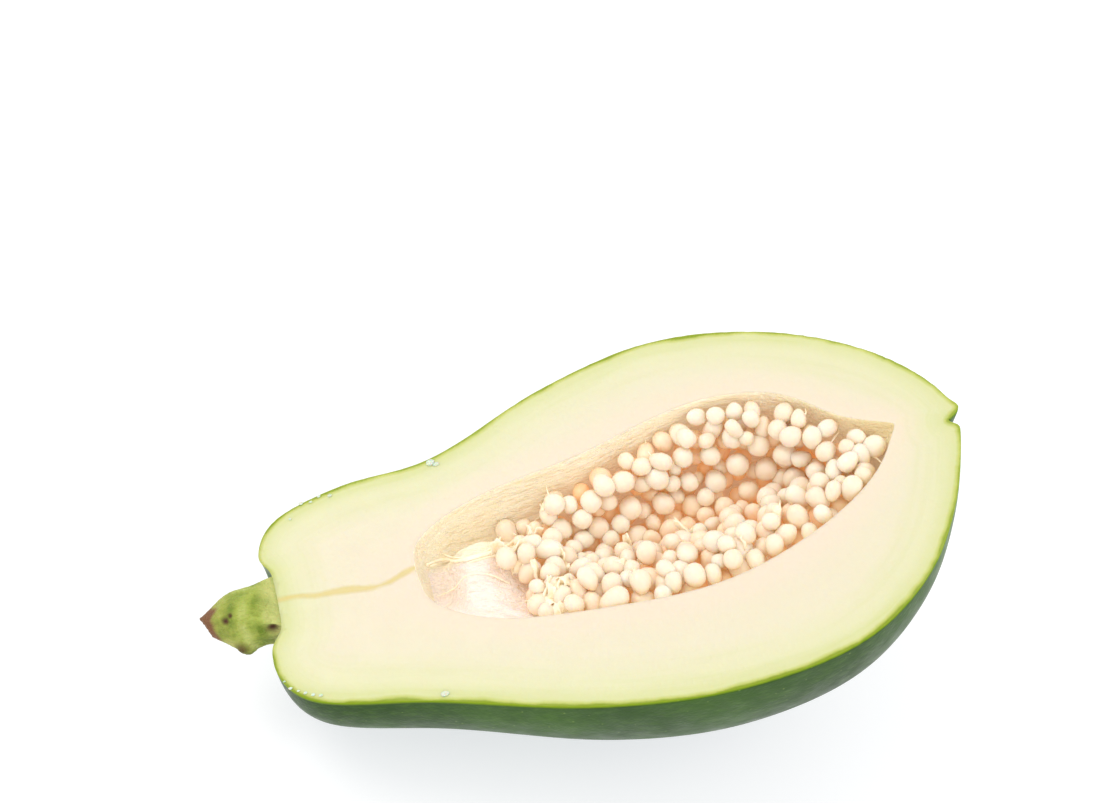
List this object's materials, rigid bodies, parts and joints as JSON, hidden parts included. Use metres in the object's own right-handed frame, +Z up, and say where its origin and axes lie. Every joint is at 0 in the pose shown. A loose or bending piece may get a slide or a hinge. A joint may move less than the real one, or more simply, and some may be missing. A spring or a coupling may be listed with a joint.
{
  "type": "halved papaya",
  "caption": "Half of a green papaya cut lengthwise, lying on its back with its short stalk, pale flesh and a hollow full of pale seeds.",
  "frame": {"origin": "centre of the small flat spot on which the half lies still, in the plane of the surface under it", "axes": "+X from the stalk towards the blossom end, +Y to the far side of the cut face, +Z up; the cut face looks up and is tipped 17 degrees, blossom end high"},
  "size_m": [0.2124, 0.117, 0.094],
  "materials": {
    "fruit": "moist pale cut flesh, cream to yellow-green towards the rim, inside a thin semi-gloss green skin",
    "stalk": "satin yellow-green stub with brown corky scars and a dry brown cut end",
    "seed_bed": "wet clinging seeds and pale fibres, ivory to orange-brown in the shade",
    "seed": "wet ivory to peach immature seed with a soft shine"
  },
  "bodies": {
    "root": {"fruit_half": "fruit", "stalk": "stalk", "seed_bed_far": "seed_bed", "seed_bed_floor": "seed_bed", "seed_bed_near": "seed_bed", "seed_01": "seed", "seed_02": "seed", "seed_03": "seed", "seed_04": "seed", "seed_05": "seed", "seed_06": "seed", "seed_07": "seed", "seed_08": "seed", "seed_09": "seed", "seed_10": "seed", "seed_11": "seed", "seed_12": "seed", "seed_13": "seed", "seed_14": "seed", "seed_15": "seed", "seed_16": "seed", "seed_17": "seed", "seed_18": "seed", "seed_19": "seed", "seed_20": "seed", "seed_21": "seed", "seed_22": "seed", "seed_23": "seed", "seed_24": "seed", "seed_25": "seed", "seed_26": "seed", "seed_27": "seed", "seed_28": "seed", "seed_29": "seed", "seed_30": "seed", "seed_31": "seed", "seed_32": "seed", "seed_33": "seed", "seed_34": "seed", "seed_35": "seed", "seed_36": "seed", "seed_37": "seed", "seed_38": "seed", "seed_39": "seed", "seed_40": "seed", "seed_41": "seed", "seed_42": "seed", "seed_43": "seed", "seed_44": "seed", "seed_45": "seed", "seed_46": "seed", "seed_47": "seed", "seed_48": "seed", "seed_49": "seed", "seed_50": "seed", "seed_51": "seed", "seed_52": "seed", "seed_53": "seed", "seed_54": "seed"}
  },
  "joints": []
}
